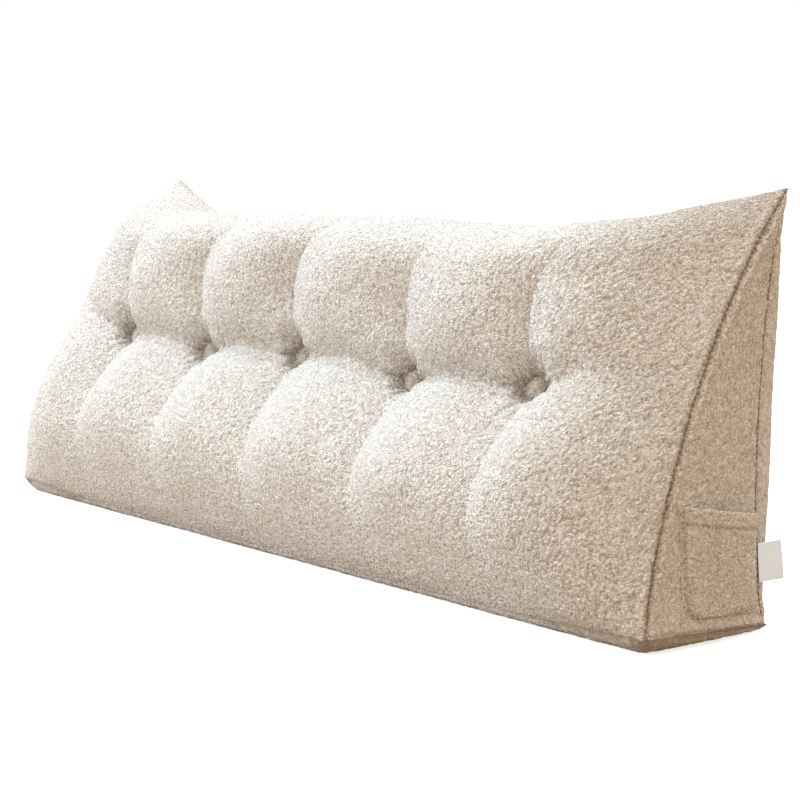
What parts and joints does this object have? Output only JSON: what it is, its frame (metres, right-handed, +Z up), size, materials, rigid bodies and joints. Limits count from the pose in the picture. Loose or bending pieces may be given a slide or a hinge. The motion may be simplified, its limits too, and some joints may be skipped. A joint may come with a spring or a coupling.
{
  "type": "wedge bed pillow",
  "caption": "Long wedge-shaped bed pillow with a button-tufted sloping front, triangular end gussets, a side pocket and pointed top corners.",
  "frame": {"origin": "middle of the whole pillow's box, on the surface that its base rests on", "axes": "+X along the length towards the end with the pocket, -Y the way the tufted front faces, +Z up"},
  "size_m": [1.221, 0.307, 0.468],
  "materials": {
    "teddy_fleece": "curly teddy fleece pile, matt",
    "teddy_fleece_end": "curly teddy fleece pile, matt",
    "button_cover": "teddy fleece drawn tight over a dome",
    "label_satin": "plain woven satin tape"
  },
  "bodies": {
    "root": {"cushion": "teddy_fleece", "end_panel_right": "teddy_fleece_end", "end_panel_left": "teddy_fleece_end", "side_pocket": "teddy_fleece_end", "button_1": "button_cover", "button_2": "button_cover", "button_3": "button_cover", "button_4": "button_cover", "button_5": "button_cover", "care_label": "label_satin"}
  },
  "joints": []
}
